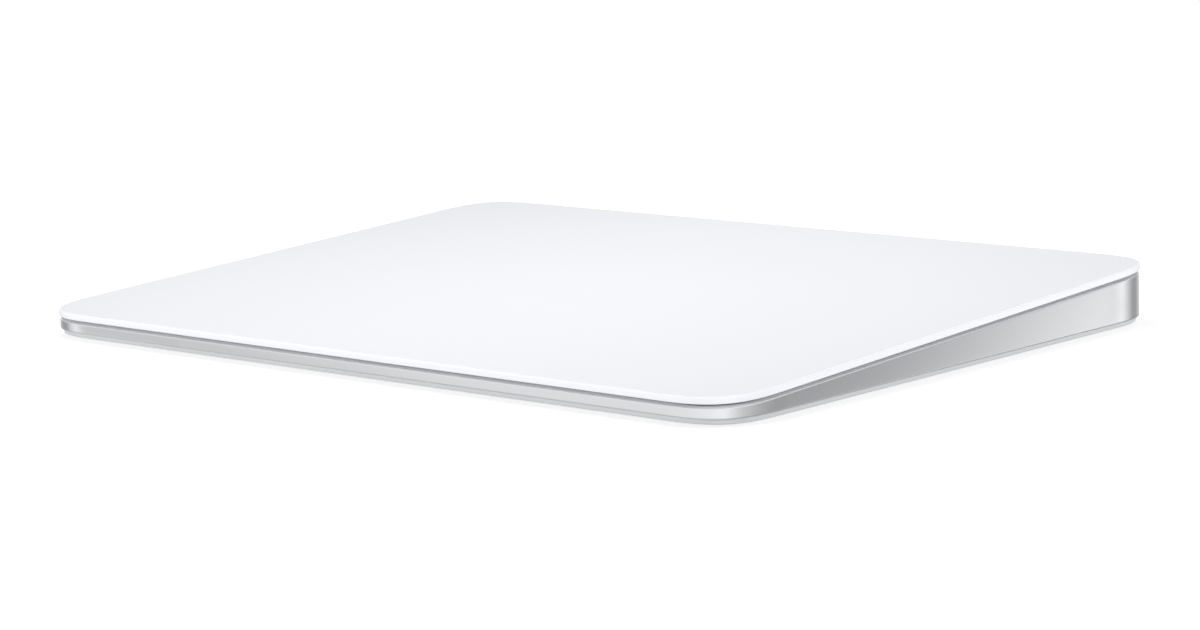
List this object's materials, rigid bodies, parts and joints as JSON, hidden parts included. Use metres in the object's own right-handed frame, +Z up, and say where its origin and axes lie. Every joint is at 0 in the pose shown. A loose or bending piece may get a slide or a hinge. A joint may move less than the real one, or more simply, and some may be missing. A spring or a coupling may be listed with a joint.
{
  "type": "trackpad",
  "caption": "Cordless wedge-shaped desk trackpad with a floating white glass touch plate, a satin metal housing, a haptic actuator, a charging port and a power switch.",
  "frame": {"origin": "on the desk, under the middle of the body", "axes": "+X to the user's right along the long side, +Y to the thick rear edge, +Z up"},
  "size_m": [0.16, 0.1149, 0.0109],
  "materials": {
    "glass_white": "gloss white, back-printed",
    "aluminium": "satin anodised",
    "cover_plastic": "fine matte",
    "foot_rubber": "matte",
    "knob_plastic": "fine matte",
    "indicator_green": "matte paint",
    "steel": "rolled sheet",
    "soft_iron": "laminated",
    "copper": "enamelled wire",
    "contact_gold": "plated",
    "board_green": "solder mask",
    "board_black": "moulded epoxy",
    "board_white": "white solder mask",
    "connector_cream": "moulded",
    "cable_amber": "polyimide film",
    "adhesive_dark": "tape",
    "adhesive_pale": "tape",
    "gel": "soft gel",
    "cell_foil": "laminated pouch"
  },
  "bodies": {
    "housing": {"housing": "aluminium", "bottom_cover": "cover_plastic", "cover_adhesive": "adhesive_dark", "rubber_feet": "foot_rubber", "flexure_screws": "steel", "force_flex_cable": "cable_amber", "haptic_bracket": "steel", "haptic_cores": "soft_iron", "haptic_coils": "copper", "haptic_screws": "steel", "main_board": "board_green", "shield_can": "steel", "board_components": "board_black", "board_connectors": "connector_cream", "main_board_screws": "steel", "battery_cell": "cell_foil", "battery_tab_board": "board_green", "battery_cable": "cable_amber", "battery_adhesive": "adhesive_pale", "charge_port_shell": "steel", "charge_port_tongue": "board_black", "port_contacts": "contact_gold", "port_bracket": "steel", "port_screws": "steel", "port_flex": "cable_amber", "switch_body": "board_black", "switch_indicator": "indicator_green", "switch_flex": "cable_amber", "touch_flex_cable": "cable_amber", "antenna_carrier": "board_black", "antenna_foil": "copper"},
    "press_stage": {"force_flexures": "steel", "strain_gauges": "cable_amber", "gel_pads": "gel"},
    "touch_plate": {"glass_plate": "glass_white", "glass_bond": "adhesive_pale", "sensor_board": "board_white", "stiffener_plate": "steel", "attractor_bar": "soft_iron", "touch_connector": "board_black"},
    "power_switch": {"switch_knob": "knob_plastic"}
  },
  "joints": [
    {"name": "touch_press", "type": "slide", "parent": "housing", "child": "press_stage", "axis": [0, -0.0521, 0.9986], "range_m": [-0.0002, 0], "stiffness_N_per_m": 5000, "springref_m": 0.0004, "deforming": ["force_flexures", "strain_gauges", "touch_flex_cable"]},
    {"name": "haptic_shift", "type": "slide", "parent": "press_stage", "child": "touch_plate", "axis": [1, 0, 0], "range_m": [-0.00015, 0.00015], "stiffness_N_per_m": 8000, "deforming": ["gel_pads", "touch_flex_cable"]},
    {"name": "power_slide", "type": "slide", "parent": "housing", "child": "power_switch", "axis": [1, 0, 0], "range_m": [0, 0.002]}
  ]
}
